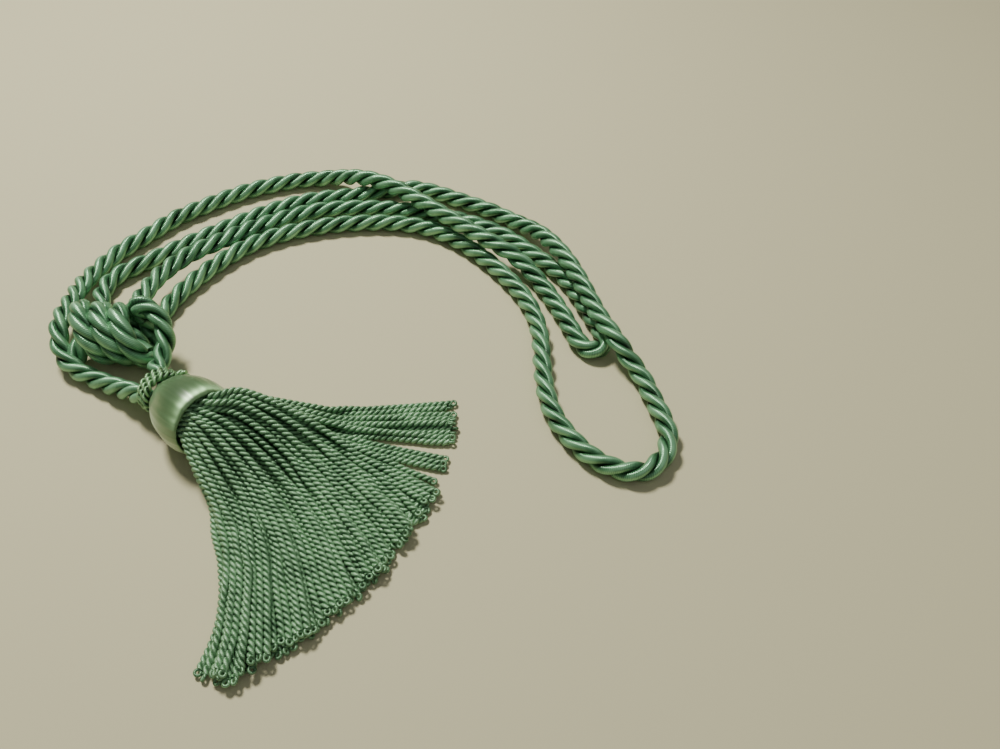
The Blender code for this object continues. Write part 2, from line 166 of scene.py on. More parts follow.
# From the knot's left end, over the wide loop, round a hairpin and back, in millimetres.
NARROW_LOOP = (
    (-104.6, 107.8, 14.4), (-105, 113, 13.4), (-106, 126, 10.0), (-104, 142, 6.5),
    (-95, 162, 5.3), (-83, 177, 5.3),
    (-70, 193, 5.3), (-54, 206, 5.3), (-35, 219, 5.3), (-13, 229, 5.3), (12, 235, 5.3),
    (30, 232, 9.0), (46, 224, 14.5), (64, 214, 16.5), (98, 186, 16.4), (129, 159, 16.0),
    (142, 151, 13.0), (152, 143, 8.5), (161, 130, 5.4), (168, 115, 5.3), (174, 100, 5.3),
    (179, 86, 5.3), (184, 79.5, 5.3), (190.5, 79.5, 5.3), (193, 87, 5.3), (190, 99, 5.3),
    (184, 115, 5.3), (177, 132, 5.3), (168, 146, 5.3), (155, 160, 5.3), (141, 174, 5.3),
    (123, 186, 5.3), (104, 194, 5.3), (67, 203, 5.3), (30, 203, 5.3), (12, 199, 5.3),
    (-6, 190, 6.0), (-23, 177, 8.0), (-37, 162, 11.0), (-48, 150, 13.0), (-59, 131, 15.0),
    (-63, 115, 17.0), (-65, 98.0, 18.0),
)
# From the knot's left end, under and then over the narrow one, and back.
WIDE_LOOP = (
    (-90.9, 98.8, 6.6), (-93, 112, 5.6), (-95, 126, 5.3), (-91, 139, 5.3), (-80, 149, 5.3),
    (-54, 170, 5.3),
    (-23, 193, 5.3), (10, 211, 5.3), (44, 218, 5.3), (73, 225, 5.3), (90, 222, 5.3),
    (110, 212, 5.3), (130, 201, 5.3), (145, 189, 6.5), (158, 174, 11.0), (168, 156, 15.5),
    (176, 139, 16.4), (182, 122, 16.4), (187, 105, 16.4), (192, 90, 16.5), (198, 78, 15.5),
    (205, 68, 10.0), (211, 59, 6.2), (215, 46, 5.3), (219, 31, 5.3), (220, 17, 5.3),
    (214, 4, 5.3), (204, -2, 5.3), (192, 0, 5.3), (181, 7, 5.3), (171, 19, 5.3),
    (163, 35, 5.3), (159, 60, 5.3), (158, 90, 5.3), (154, 110, 5.3), (146, 128, 5.3),
    (122, 160, 5.3), (89, 184, 5.3), (51, 189, 5.3), (12, 182, 5.3), (-20, 165, 5.3),
    (-41, 140, 5.3), (-50, 124, 5.3), (-55, 110, 5.3), (-57.5, 98.2, 5.3),
)
# The necks: from the knot's ends into the collar.
LEFT_NECK = (
    (-104.6, 107, 14.5), (-104.5, 97, 16.0), (-103.5, 86, 16.0), (-101, 76, 12.0),
    (-94.5, 66.5, 7.5), (-83.5, 60, 5.6), (-70, 53, 6.6), (-57.5, 46, 10.0),
    (-49.5, 41, 13.2), (-44.5, 37.6, 14.9),
)
RIGHT_NECK = (
    (-57.6, 88.6, 29.2), (-51.5, 87.5, 29.0), (-46.2, 84, 25.6), (-43, 79, 20.5),
    (-43, 72, 14.0), (-44.5, 64, 11.5), (-43, 55, 13.2), (-36.7, 47.6, 15.45),
)
# Where the rope runs on out of sight: inside the knot, and inside the collar.
NARROW_END_INSIDE = (-66, 91, 17.5)
WIDE_START_INSIDE, WIDE_END_INSIDE = (-89.6, 92, 8.0), (-59, 92, 7.0)
LEFT_NECK_INSIDE, RIGHT_NECK_INSIDE = (-38, 33.5, 15.6), (-31, 42, 15.8)


def placed(route):
    """A route's points in metres, measured from the part's own origin."""
    return (np.asarray(route, float) + PLACE) * MM


def smooth_route(points, spacing):
    """Even steps along one smooth curve (a natural cubic) through the points."""
    points = np.asarray(points, float)
    knots = np.r_[0, np.cumsum(np.sqrt(np.linalg.norm(np.diff(points, axis=0), axis=1)))]
    gap = np.diff(knots)
    count = len(points)
    rows, right = np.eye(count), np.zeros((count, 3))
    for i in range(1, count - 1):
        rows[i, i - 1 : i + 2] = gap[i - 1], 2 * (gap[i - 1] + gap[i]), gap[i]
        slope_out = (points[i + 1] - points[i]) / gap[i]
        right[i] = 6 * (slope_out - (points[i] - points[i - 1]) / gap[i - 1])
    bend = np.linalg.solve(rows, right)
    at = np.linspace(0, knots[-1], 40 * count)
    cell = np.clip(np.searchsorted(knots, at) - 1, 0, count - 2)
    ahead, behind = (knots[cell + 1] - at)[:, None], (at - knots[cell])[:, None]
    wide = gap[cell][:, None]
    curve = (bend[cell] * ahead**3 + bend[cell + 1] * behind**3) / (6 * wide)
    curve += (points[cell] / wide - bend[cell] * wide / 6) * ahead
    curve += (points[cell + 1] / wide - bend[cell + 1] * wide / 6) * behind
    run = np.r_[0, np.cumsum(np.linalg.norm(np.diff(curve, axis=0), axis=1))]
    even = np.linspace(0, run[-1], max(2, round(run[-1] / spacing) + 1))
    return np.stack([np.interp(even, run, curve[:, axis]) for axis in range(3)], axis=1)


def rope_route(points, radius=ROPE_RADIUS):
    """The rope's middle along a route, nowhere lower than half its thickness."""
    route = smooth_route(points, ROUTE_STEP)
    route[:, 2] = np.maximum(route[:, 2], radius + FLOOR_GAP)
    return route


def route_length(route):
    """The length along a route's points."""
    return float(np.linalg.norm(np.diff(route, axis=0), axis=1).sum())


def cord_tree():
    """Geometry Nodes that lay up plies along a curve, from one length along it to another."""
    tree = bpy.data.node_groups.new("laid_cord", "GeometryNodeTree")
    sizes = (
        ("Plies", "NodeSocketInt", 3),
        ("Ply radius", "NodeSocketFloat", 0.0025),
        ("Ply width", "NodeSocketFloat", 1.12),
        ("Ply offset", "NodeSocketFloat", 0.0027),
        ("Lay", "NodeSocketFloat", 0.028),
        ("Step", "NodeSocketFloat", 0.0012),
        ("Sides", "NodeSocketInt", 14),
        ("From", "NodeSocketFloat", -1.0),
        ("To", "NodeSocketFloat", 100.0),
        ("Finish", "NodeSocketMaterial", None),
    )
    tree.interface.new_socket("Route", in_out="INPUT", socket_type="NodeSocketGeometry")
    for name, kind, value in sizes:
        socket = tree.interface.new_socket(name, in_out="INPUT", socket_type=kind)
        if value is not None:
            socket.default_value = value
    tree.interface.new_socket("Cord", in_out="OUTPUT", socket_type="NodeSocketGeometry")
    given = add(tree, "NodeGroupInput").outputs

    # The route in even steps, turned once for each lay, with the length along it kept.
    even = add(
        tree,
        "GeometryNodeResampleCurve",
        {"Curve": given["Route"], "Length": given["Step"]},
        mode="LENGTH",
    )
    length = add(tree, "GeometryNodeSplineParameter").outputs["Length"]
    turns = calculate(tree, "DIVIDE", length, given["Lay"])
    own = add(tree, "GeometryNodeInputCurveTilt").outputs["Tilt"]
    tilt = calculate(tree, "MULTIPLY_ADD", turns, -math.tau, own)
    tilted = add(
        tree, "GeometryNodeSetCurveTilt", {"Curve": even.outputs["Curve"], "Tilt": tilt}
    )
    line = add(
        tree,
        "GeometryNodeStoreNamedAttribute",
        {"Geometry": tilted.outputs["Curve"], "Name": "along", "Value": length},
        data_type="FLOAT",
        domain="POINT",
    )

    # The cord's section: one ply's ring, wider than high, copied round the middle.
    ring = add(
        tree,
        "GeometryNodeCurvePrimitiveCircle",
        {"Resolution": given["Sides"], "Radius": given["Ply radius"]},
        mode="RADIUS",
    )
    factor = add(tree, "GeometryNodeSplineParameter").outputs["Factor"]
    marked = add(
        tree,
        "GeometryNodeStoreNamedAttribute",
        {"Geometry": ring.outputs["Curve"], "Name": "around", "Value": factor},
        data_type="FLOAT",
        domain="POINT",
    )
    back = calculate(tree, "MULTIPLY", given["Ply offset"], -1.0)
    aside = add(tree, "ShaderNodeCombineXYZ", {"X": back})
    shape = add(tree, "ShaderNodeCombineXYZ", {"X": 1.0, "Y": given["Ply width"], "Z": 1.0})
    ply = add(
        tree,
        "GeometryNodeTransform",
        {
            "Geometry": marked.outputs["Geometry"],
            "Translation": aside.outputs[0],
            "Scale": shape.outputs[0],
        },
    )
    middles = add(tree, "GeometryNodePoints", {"Count": given["Plies"]})
    number = add(tree, "GeometryNodeInputIndex").outputs[0]
    part = calculate(tree, "DIVIDE", number, given["Plies"])
    turn = add(tree, "ShaderNodeCombineXYZ", {"Z": calculate(tree, "MULTIPLY", part, math.tau)})
    copies = add(
        tree,
        "GeometryNodeInstanceOnPoints",
        {
            "Points": middles.outputs["Points"],
            "Instance": ply.outputs["Geometry"],
            "Rotation": turn.outputs[0],
        },
    )
    section = add(
        tree, "GeometryNodeRealizeInstances", {"Geometry": copies.outputs["Instances"]}
    )
    named = add(
        tree,
        "GeometryNodeStoreNamedAttribute",
        {"Geometry": section.outputs["Geometry"], "Name": "ply", "Value": number},
        data_type="FLOAT",
        domain="CURVE",
    )

    # Swept along the route, cut to the wanted stretch, and mapped along and round the ply.
    swept = add(
        tree,
        "GeometryNodeCurveToMesh",
        {
            "Curve": line.outputs["Geometry"],
            "Profile Curve": named.outputs["Geometry"],
            "Fill Caps": True,
        },
    )
    here = add(tree, "GeometryNodeInputNamedAttribute", {"Name": "along"}, data_type="FLOAT")
    round_it = add(
        tree, "GeometryNodeInputNamedAttribute", {"Name": "around"}, data_type="FLOAT"
    )
    early = add(
        tree,
        "FunctionNodeCompare",
        {0: here.outputs["Attribute"], 1: given["From"]},
        operation="LESS_THAN",
    )
    late = add(
        tree,
        "FunctionNodeCompare",
        {0: here.outputs["Attribute"], 1: given["To"]},
        operation="GREATER_THAN",
    )
    outside = add(
        tree,
        "FunctionNodeBooleanMath",
        {0: early.outputs["Result"], 1: late.outputs["Result"]},
        operation="OR",
    )
    cut = add(
        tree,
        "GeometryNodeDeleteGeometry",
        {"Geometry": swept.outputs["Mesh"], "Selection": outside.outputs[0]},
        domain="POINT",
    )
    spread = add(
        tree,
        "ShaderNodeCombineXYZ",
        {"X": here.outputs["Attribute"], "Y": round_it.outputs["Attribute"]},
    )
    mapped = add(
        tree,
        "GeometryNodeStoreNamedAttribute",
        {"Geometry": cut.outputs["Geometry"], "Name": "winding"},
        data_type="FLOAT2",
        domain="CORNER",
    )
    tree.links.new(spread.outputs[0], mapped.inputs["Value"])
    smooth = add(
        tree, "GeometryNodeSetShadeSmooth", {"Geometry": mapped.outputs["Geometry"]}
    )
    real = add(
        tree, "GeometryNodeRealizeInstances", {"Geometry": smooth.outputs["Geometry"]}
    )
    dressed = add(
        tree,
        "GeometryNodeSetMaterial",
        {"Geometry": real.outputs["Geometry"], "Material": given["Finish"]},
    )
    out = add(tree, "NodeGroupOutput")
    tree.links.new(dressed.outputs["Geometry"], out.inputs["Cord"])
    return tree


def face_outward(mesh):
    """Turns every face of a closed mesh to its outer side."""
    made = bmesh.new()
    made.from_mesh(mesh)
    bmesh.ops.recalc_face_normals(made, faces=made.faces)
    made.to_mesh(mesh)
    made.free()


def laid_cord(name, routes, finish, closed=False, tilts=None, **sizes):
    """A cord laid up along each route, as one plain mesh. Sizes are the node tree's inputs."""
    data = bpy.data.curves.new(name + "_routes", "CURVE")
    data.dimensions = "3D"
    for number, route in enumerate(routes):
        line = data.splines.new("POLY")
        line.points.add(len(route) - 1)
        for point, place in zip(line.points, route):
            point.co = (*place, 1)
            point.tilt = tilts[number] if tilts is not None else 0
        line.use_cyclic_u = closed
    source = bpy.data.objects.new(name + "_routes", data)
    bpy.context.scene.collection.objects.link(source)
    nodes = source.modifiers.new("laid_cord", "NODES")
    nodes.node_group = laid_cord_tree
    wanted = {key.replace("_", " ").capitalize(): value for key, value in sizes.items()}
    wanted["Finish"] = finish
    for item in laid_cord_tree.interface.items_tree:
        if item.in_out == "INPUT" and item.name in wanted:
            nodes[item.identifier] = wanted.pop(item.name)
    if wanted:
        raise ValueError(f"no such input: {sorted(wanted)}")
    bpy.context.view_layer.update()
    graph = bpy.context.evaluated_depsgraph_get()
    mesh = bpy.data.meshes.new_from_object(source.evaluated_get(graph))
    bpy.data.objects.remove(source, do_unlink=True)
    mesh.name = name
    face_outward(mesh)
    thing = bpy.data.objects.new(name, mesh)
    bpy.context.scene.collection.objects.link(thing)
    return thing


def wound_satin(name, lit_crown, ground, groove_shade, shade, thread, relief, roughness):
    """Viscose satin yarn wound over a core: fine ridges across the ply and a long bright streak
    down it. lit_crown, ground and groove_shade are its colours from the ply's outer side to its
    inner one: painted light on the outer side, the yarn's own colour, and painted shade in the
    groove between plies. thread is the yarns' spacing along the cord in metres."""
    finish, tree, out = empty_material(name)
    winding = add(tree, "ShaderNodeUVMap", uv_map="winding")
    split = add(tree, "ShaderNodeSeparateXYZ", {"Vector": winding.outputs["UV"]})
    place = add(tree, "ShaderNodeTexCoord").outputs["Object"]

    # Ridges: one for each yarn, a little unevenly spaced.
    count = calculate(tree, "DIVIDE", split.outputs["X"], thread)
    phase = calculate(tree, "MULTIPLY_ADD", split.outputs["Y"], 1.0, count)
    uneven = add(tree, "ShaderNodeTexNoise", {"Vector": place, "Scale": 300, "Detail": 1})
    shifted = calculate(tree, "MULTIPLY_ADD", uneven.outputs["Fac"], 0.35, phase)
    ridge = calculate(tree, "SINE", calculate(tree, "MULTIPLY", shifted, math.tau))
    bump = add(
        tree, "ShaderNodeBump", {"Height": ridge, "Strength": 1.0, "Distance": relief}
    )

    # Colour: painted shade darkens each ply towards the cord's middle, in the grooves between plies,
    # and painted light lightens its outer side; it also varies in soft patches and along the ridges.
    patch = add(tree, "ShaderNodeTexNoise", {"Vector": place, "Scale": 95, "Detail": 3})
    inward = calculate(
        tree, "COSINE", calculate(tree, "MULTIPLY", split.outputs["Y"], math.tau)
    )
    # Painted shade and light: low on the ply's side facing the cord's middle, high on its outer side,
    # shifted by random patches.
    painted_shade_and_patches = calculate(tree, "MULTIPLY_ADD", inward, -shade, patch.outputs["Fac"])
    mixed = calculate(tree, "MULTIPLY_ADD", ridge, 0.1, painted_shade_and_patches)
    colour = add(tree, "ShaderNodeValToRGB", {"Fac": mixed})
    ramp = colour.color_ramp.elements
    # The ramp runs from painted groove shade through the yarn's own colour to painted light on the
    # outer side.
    ramp.new(0.55).color = linear(ground)
    ramp[0].position = 0.18
    ramp[0].color = linear(groove_shade)
    ramp[2].position = 0.88
    ramp[2].color = linear(lit_crown)
    tangent = add(tree, "ShaderNodeTangent", direction_type="UV_MAP", uv_map="winding")
    shader = add(
        tree,
        "ShaderNodeBsdfPrincipled",
        {
            "Base Color": colour.outputs["Color"],
            "Roughness": roughness,
            "IOR": 1.53,
            "Metallic": 0.45,
            "Specular IOR Level": 1.0,
            "Anisotropic": 0.9,
            "Tangent": tangent.outputs["Tangent"],
            "Normal": bump.outputs["Normal"],
        },
    )
    tree.links.new(shader.outputs[0], out.inputs["Surface"])
    return finish


laid_cord_tree = cord_tree()
# Colours: painted light on the plies' outer sides, the yarn's green, and painted shade in the
# grooves.
rope_satin = wound_satin(
    "viscose_satin_rope", "86BF90", "528A5E", "142E1B", shade=0.34, thread=0.85 * MM,
    relief=0.04 * MM, roughness=0.29,
)
ROPE = dict(
    plies=3, ply_radius=PLY_RADIUS, ply_offset=PLY_OFFSET, lay=ROPE_LAY, step=1.2 * MM, sides=14
)

left_neck_points = placed((*LEFT_NECK, LEFT_NECK_INSIDE)[::-1])
narrow_points = placed((*NARROW_LOOP, NARROW_END_INSIDE))
left_neck = rope_route(left_neck_points)
narrow = rope_route(narrow_points)
wide = rope_route(placed((WIDE_START_INSIDE, *WIDE_LOOP, WIDE_END_INSIDE)))

loop_wide = laid_cord("loop_wide_rope", [wide], rope_satin, **ROPE)
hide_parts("loop_wide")
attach(loop_wide, "root")

first_rope = rope_route(np.vstack([left_neck_points[:-1], narrow_points]))
neck_length = route_length(left_neck)
loop_narrow = laid_cord(
    "loop_narrow_rope", [first_rope], rope_satin, **ROPE, **{"from": neck_length}
)
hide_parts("loop_narrow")
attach(loop_narrow, "root")

# --- Necks and knot ---------------------------------------------------------------------------------
# The same rope. Its left end comes straight from the narrow loop, passes the knot's left end and
# runs to the tassel. Its right end comes off the last of the turns that bind the knot.

# Wound round the knot, the rope lies a little slack, with its plies spread.
SLACK_ROPE = {**ROPE, "ply_radius": 2.7 * MM, "ply_width": 1.25}
SLACK_RADIUS = 5.7 * MM
KNOT_CENTRE = placed((-74.0, 80.9, 16.3))
KNOT_HEADING = math.radians(-6)
KNOT_FIRST, KNOT_LAST = math.radians(-90), math.radians(1110)
KNOT_PITCH = 10.8 * MM
KNOT_START = -15.0 * MM
KNOT_TURN_RADIUS = 11.9 * MM
KNOT_SLANT = 5.5 * MM
KNOT_SLANT_FROM = math.radians(40)
KNOT_STEP = math.radians(12)
KNOT_INNER_SHARE = 0.6  # of the turns' radius, where the rope leaves the core
NECK_OVERLAP = 1.2 * MM  # of a neck with the stretch that it runs on from
# The rope inside the knot: straight along its middle, with each end curled down and forward.
# place: along the knot; radius: out from its middle. Millimetres.
CORE_STRAIGHT = (-11 * MM, 9 * MM)
CORE_CURL_ANGLE = math.radians(222)
CORE_LEFT_CURL = (
    {"place": -19, "radius": 17}, {"place": -16.5, "radius": 10}, {"place": -14.5, "radius": 5},
)
CORE_RIGHT_CURL = ({"place": 15.5, "radius": 4}, {"place": 20, "radius": 9})


def knot_point(angle, place, radius):
    """A point round the knot: angle from its back over the top, place along it to the right."""
    along = np.array((math.cos(KNOT_HEADING), math.sin(KNOT_HEADING), 0))
    back = np.array((-along[1], along[0], 0))
    out = math.cos(angle) * back + math.sin(angle) * np.array((0, 0, 1.0))
    return KNOT_CENTRE + place * along + radius * out


def knot_route():
    """The wound rope: out from the core and round it to the right, each turn leaning over."""
    places = []
    for angle in np.arange(KNOT_FIRST, KNOT_LAST, KNOT_STEP):
        turns = (angle - KNOT_FIRST) / math.tau
        lean = KNOT_SLANT * math.cos(angle - KNOT_SLANT_FROM)
        grown = min(1, turns * 3)
        radius = KNOT_TURN_RADIUS * (KNOT_INNER_SHARE + (1 - KNOT_INNER_SHARE) * grown)
        places.append(knot_point(angle, KNOT_START + turns * KNOT_PITCH - lean, radius))
    return np.array(places)


def core_route():
    """The rope inside the knot: into the left neck at one end, under the wraps at the other."""
    left, right = (
        [knot_point(CORE_CURL_ANGLE, row["place"] * MM, row["radius"] * MM) for row in curl]
        for curl in (CORE_LEFT_CURL, CORE_RIGHT_CURL)
    )
    inside = [knot_point(0, place, 0) for place in np.linspace(*CORE_STRAIGHT, 5)]
    return rope_route([*left, *inside, *right], SLACK_RADIUS)


neck_left = laid_cord(
    "neck_left_rope", [first_rope], rope_satin, **ROPE, to=neck_length + NECK_OVERLAP
)
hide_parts("neck_left")
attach(neck_left, "root")

wound = knot_route()
second_rope = rope_route(
    np.vstack([wound, placed((*RIGHT_NECK, RIGHT_NECK_INSIDE))]), SLACK_RADIUS
)
knot_length = route_length(rope_route(wound, SLACK_RADIUS))
knot = laid_cord("knot_rope", [second_rope], rope_satin, **SLACK_ROPE, to=knot_length)
knot_core = laid_cord("knot_core_rope", [core_route()], rope_satin, **SLACK_ROPE)
for piece in (knot, knot_core):
    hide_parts("knot")
    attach(piece, "root")
neck_right = laid_cord(
    "neck_right_rope", [second_rope], rope_satin, **ROPE, **{"from": knot_length - NECK_OVERLAP}
)
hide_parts("neck_right")
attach(neck_right, "root")

# --- Collar -----------------------------------------------------------------------------------------
# Gimp wound about three times round the two necks' ends, above the head: a thin two-ply cord
# whose plies stand up as a row of beads, with its cut ends bunched beside the head.

MOUTH_CENTRE = placed((-6.7, 16.8, 19.0))
TASSEL_HEADING = math.radians(-38.8)
TASSEL_DIP = math.radians(5.0)
HEAD_LENGTH = 32.2 * MM
COLLAR_LENGTH = 9.2 * MM
COLLAR_RADIUS = 10.4 * MM
COLLAR_SETBACK = 1.4 * MM  # of its last row behind the head
COLLAR_CORD = 1.6 * MM
COLLAR_ROWS = 3.1
COLLAR_LAST = 3.1  # where its last turn stops, in turns
COLLAR_POINTS = 120


def tassel_axes():
    """Unit vectors: along the tassel towards its skirt, across it to the left, and up."""
    flat = np.array((math.cos(TASSEL_HEADING), math.sin(TASSEL_HEADING), 0))
    along = flat * math.cos(TASSEL_DIP) + np.array((0, 0, math.sin(TASSEL_DIP)))
    across = np.array((-flat[1], flat[0], 0))
    return along, across, np.cross(along, across)


# The tail of the cord past its last turn: how far out from the neck and on towards the head.
COLLAR_TAIL = ((0.8, 0.4), (2.0, 1.4), (3.0, 2.8), (3.6, 4.2), (3.8, 5.2))


def collar_route():
    """The collar's cord: its rows from the necks to the head, and its tail."""
    along, across, up = tassel_axes()
    angles = np.linspace(COLLAR_LAST - COLLAR_ROWS, COLLAR_LAST, COLLAR_POINTS) * math.tau
    rows = np.linspace(COLLAR_LENGTH - COLLAR_CORD, 0, COLLAR_POINTS)
    back = HEAD_LENGTH + COLLAR_SETBACK + rows
    around = np.cos(angles)[:, None] * across + np.sin(angles)[:, None] * up
    turns = MOUTH_CENTRE - along * back[:, None] + around * COLLAR_RADIUS
    tail = [turns[-1] + around[-1] * out * MM + along * on * MM for out, on in COLLAR_TAIL]
    return np.vstack([turns, tail])


# The bunched ends: where round the collar each starts, in turns, and how far on it leans.
COLLAR_ENDS = ({"turn": 0.055, "on": 1.2}, {"turn": 0.085, "on": 2.4}, {"turn": 0.115, "on": 0.4})
COLLAR_END_TURN = 0.07
COLLAR_END_RISE = 2.2 * MM
COLLAR_END_REACH = 2.6  # towards the head, in millimetres


def collar_end(turn, on):
    """One short cut end, arched out over the collar's last rows."""
    along, across, up = tassel_axes()
    run = np.linspace(0, 1, 14)
    angles = (turn - COLLAR_END_TURN * run) * math.tau
    around = np.cos(angles)[:, None] * across + np.sin(angles)[:, None] * up
    back = HEAD_LENGTH + COLLAR_SETBACK - (on + COLLAR_END_REACH * run) * MM
    out = COLLAR_RADIUS + 0.6 * MM + COLLAR_END_RISE * np.sin(math.pi * (0.15 + 0.75 * run))
    return MOUTH_CENTRE - along * back[:, None] + around * out[:, None]


# Colours: painted light on the plies' outer sides, the yarn's green, and painted shade in the
# grooves.
gimp_satin = wound_satin(
    "viscose_gimp", "A0CE97", "66965F", "142919", shade=0.3, thread=0.6 * MM,
    relief=0.025 * MM, roughness=0.32,
)
collar = laid_cord(
    "collar_gimp", [collar_route(), *(collar_end(**end) for end in COLLAR_ENDS)], gimp_satin,
    plies=2, ply_radius=0.92 * MM, ply_offset=0.95 * MM, lay=7.0 * MM, step=0.5 * MM, sides=10,
)
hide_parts("collar")
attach(collar, "root")

# --- Head -------------------------------------------------------------------------------------------
# A turned wooden mould covered with satin threads laid side by side from the collar, over the
# dome and round the rim into the mouth.

HEAD_PROFILE = (  # distance behind the mouth and radius, millimetres
    (33.6, 6.0), (33.0, 8.2), (32.0, 9.8), (30.4, 11.4), (27.5, 13.4), (23.0, 15.8),
    (18.5, 17.4), (13.5, 18.5), (9.5, 18.8), (6.0, 18.65), (3.2, 18.25), (1.3, 17.75), (0.4, 17.3),
    (0.0, 16.9), (0.5, 16.5), (3.6, 16.2),
)
HEAD_SIDES = 128
HEAD_STEP = 0.7  # along the profile, in millimetres
HEAD_THREADS = 170.0
# The threads' unevenness round the head: height in millimetres, waves round, and their start.
HEAD_LUMPS = (
    {"height": 0.12, "waves": 7, "start": 1}, {"height": 0.1, "waves": 13, "start": 0},
    {"height": 0.07, "waves": 29, "start": 0},
)


def head_mesh(finish):
    """The head as one closed turned form, mapped by the turn round it and the way along it."""
    along, across, up = tassel_axes()
    line = smooth_route([(back, radius, 0) for back, radius in HEAD_PROFILE], HEAD_STEP)
    angles = np.arange(HEAD_SIDES) * math.tau / HEAD_SIDES
    around = np.cos(angles)[:, None] * across + np.sin(angles)[:, None] * up
    lumps = sum(
        row["height"] * np.sin(angles * row["waves"] + row["start"]) for row in HEAD_LUMPS
    )
    points, faces = [], []
    for back, radius, _ in line:
        ring = MOUTH_CENTRE - along * back * MM + around * ((radius + lumps[:, None]) * MM)
        ring[:, 2] = np.maximum(ring[:, 2], 0)
        points += list(ring)
    rings = len(line)
    for i in range(rings - 1):
        for j in range(HEAD_SIDES):
            k = (j + 1) % HEAD_SIDES
            a, b = i * HEAD_SIDES, (i + 1) * HEAD_SIDES
            faces.append((a + j, a + k, b + k, b + j))
    faces.append(tuple(range(HEAD_SIDES))[::-1])
    faces.append(tuple((rings - 1) * HEAD_SIDES + j for j in range(HEAD_SIDES)))
    thing = mesh_object("head_threads", points, faces, finish)
    layer = thing.data.uv_layers.new(name="laid")
    for face in thing.data.polygons:
        for corner in face.loop_indices:
            index = thing.data.loops[corner].vertex_index
            turn = (index % HEAD_SIDES) / HEAD_SIDES
            if turn == 0 and any(
                thing.data.loops[other].vertex_index % HEAD_SIDES == HEAD_SIDES - 1
                for other in face.loop_indices
            ):
                turn = 1
            layer.data[corner].uv = (turn, (index // HEAD_SIDES) * HEAD_STEP * MM)
    face_outward(thing.data)
    thing.data.shade_smooth()
    return thing


def laid_satin():
    """Satin threads side by side: fine ridges along the dome and a bright band across them."""
    finish, tree, out = empty_material("viscose_satin_threads")
    laid = add(tree, "ShaderNodeUVMap", uv_map="laid")
    split = add(tree, "ShaderNodeSeparateXYZ", {"Vector": laid.outputs["UV"]})
    place = add(tree, "ShaderNodeTexCoord").outputs["Object"]
    uneven = add(tree, "ShaderNodeTexNoise", {"Vector": place, "Scale": 160, "Detail": 2})
    count = calculate(tree, "MULTIPLY", split.outputs["X"], HEAD_THREADS)
    shifted = calculate(tree, "MULTIPLY_ADD", uneven.outputs["Fac"], 2.5, count)
    ridge = calculate(tree, "SINE", calculate(tree, "MULTIPLY", shifted, math.tau))
    bump = add(
        tree, "ShaderNodeBump", {"Height": ridge, "Strength": 0.5, "Distance": 0.012 * MM}
    )
    streak_place = add(tree, "ShaderNodeCombineXYZ", {"X": count, "Y": split.outputs["Y"]})
    streak = add(
        tree,
        "ShaderNodeTexNoise",
        {"Vector": streak_place.outputs[0], "Scale": 0.35, "Detail": 3},
    )
    colour = add(tree, "ShaderNodeValToRGB", {"Fac": streak.outputs["Fac"]})
    ramp = colour.color_ramp.elements
    ramp[0].position = 0.3
    ramp[0].color = linear("638B57")
    ramp[1].position = 0.7
    ramp[1].color = linear("769C68")
    tangent = add(tree, "ShaderNodeTangent", direction_type="UV_MAP", uv_map="laid")
    shader = add(
        tree,
        "ShaderNodeBsdfPrincipled",
        {
            "Base Color": colour.outputs["Color"],
            "Roughness": 0.42,
            "IOR": 1.53,
            "Coat Weight": 1.0,
            "Coat Roughness": 0.3,
            "Metallic": 0.6,
            "Specular IOR Level": 1.0,
            "Anisotropic": 0.94,
            "Tangent": tangent.outputs["Tangent"],
            "Sheen Weight": 0.3,
            "Sheen Roughness": 0.35,
            "Sheen Tint": linear("DDF3D2"),
            "Normal": bump.outputs["Normal"],
        },
    )
    tree.links.new(shader.outputs[0], out.inputs["Surface"])
    return finish


head = head_mesh(laid_satin())
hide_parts("head")
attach(head, "root")

# --- Skirt ------------------------------------------------------------------------------------------
# Bullion fringe: each strand is a yarn folded in two and twisted on itself left-handed, which
# leaves a small ring at its fold. The strands are sewn close together into the head's mouth.

STRAND_PITCH = 2.6 * MM
STRAND_RADIUS = 1.48 * MM  # half the least distance between two strands' middles
STRAND_HEIGHT = 1.75 * MM  # its middle, above the surface that it lies on
STRAND_LIFT = 0.16 * MM  # on top of that, so that no ply dips below the surface
STRAND_LAY = 6.3 * MM
SKIRT_ROOT_RADIUS = 14.6 * MM
BACKING_DEPTH = 3.5 * MM
SETTLE_STEPS = 60
SETTLE_PUSHES = 40
SETTLE_FALL = 0.4  # how far a strand drops for each length that it runs
UPPER_LAYER_FROM = 3.0 * MM
RING_RADIUS = 1.3 * MM
RING_POINTS = 18
YARN_RADIUS = 0.72 * MM
STRAND_STEP = 0.8 * MM
STATION_STRIDE = 3  # of the settled stations, every third one shapes the drawn strand
LOCKS = 8
LOCK_DEPTH = 0.012  # how far a lock draws its strands together, as a share of the fan
MOST_TRIM = 3.6  # millimetres
MOST_LEAN = 1.0  # of a ring from flat, in radians

